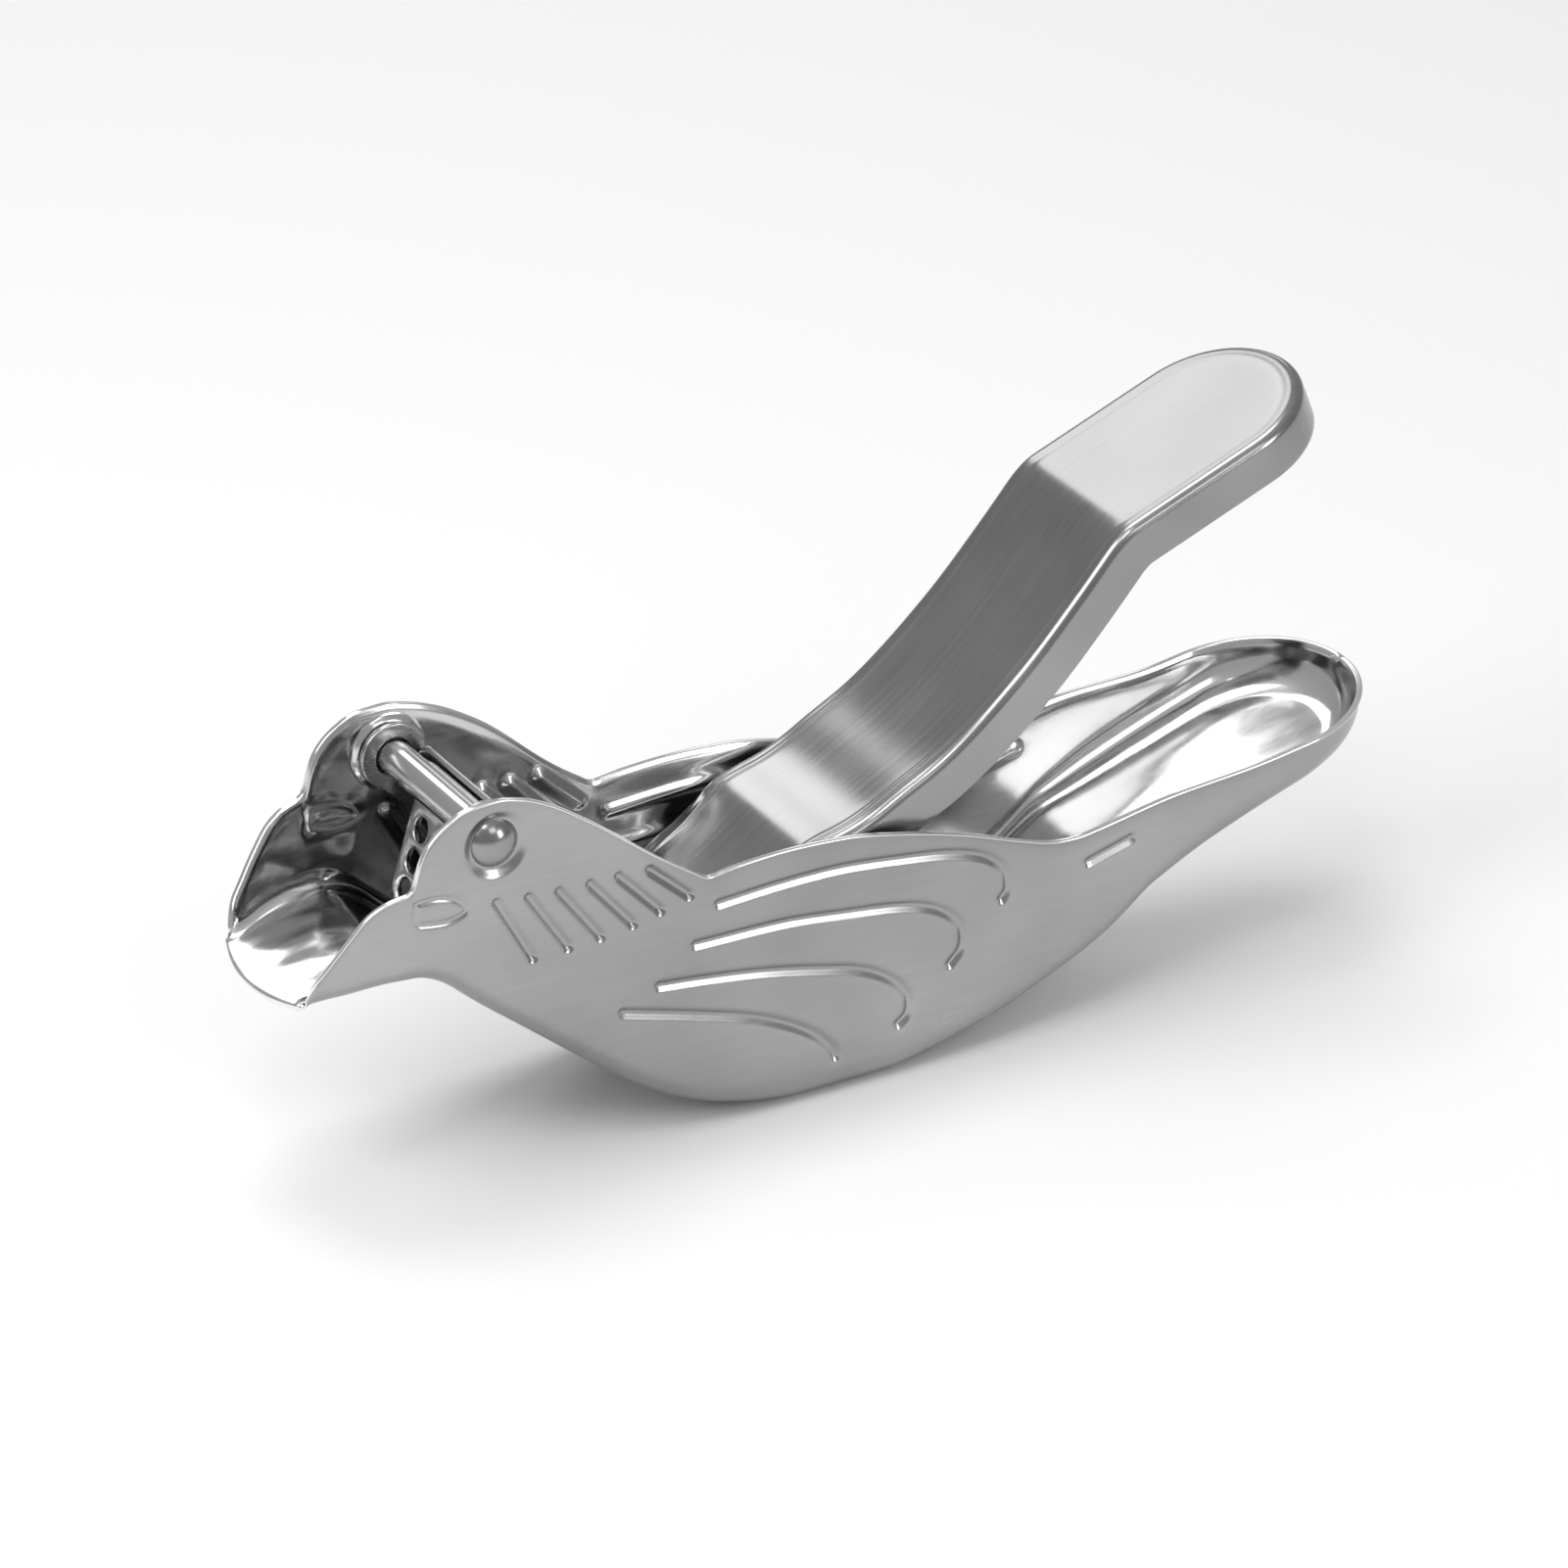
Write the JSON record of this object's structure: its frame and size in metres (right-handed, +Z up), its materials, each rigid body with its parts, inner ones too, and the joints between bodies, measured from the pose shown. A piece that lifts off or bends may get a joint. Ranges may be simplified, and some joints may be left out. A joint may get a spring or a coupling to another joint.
{
  "type": "lemon wedge squeezer",
  "caption": "Bird-shaped hand squeezer for citrus wedges: a stamped steel trough with a beak spout and a tail handle, and a pressing lever that turns on a pin through the head.",
  "frame": {"origin": "on the surface that the belly stands on, under the middle of the length from beak lip to tail end", "axes": "+X from the beak to the tail, +Z up, +Y across to the bird's right side"},
  "size_m": [0.1482, 0.0296, 0.0736],
  "materials": {
    "body_steel": "satin brushed stainless steel outside, brighter inside",
    "lever_steel": "stainless steel brushed along the lever",
    "strainer_steel": "plain stainless sheet",
    "pin_steel": "polished stainless pin",
    "rivet_steel": "polished domed rivet head"
  },
  "bodies": {
    "body": {"body_shell": "body_steel", "pivot_pin": "pin_steel", "eye_rivet_left": "rivet_steel", "eye_rivet_right": "rivet_steel"},
    "lever": {"press_lever": "lever_steel", "seed_strainer": "strainer_steel"}
  },
  "joints": [
    {"name": "lever_hinge", "type": "hinge", "parent": "body", "child": "lever", "pos_m": [-0.04927, 0, 0.045], "axis": [0, 1, 0], "range_deg": [-60, 17]}
  ]
}
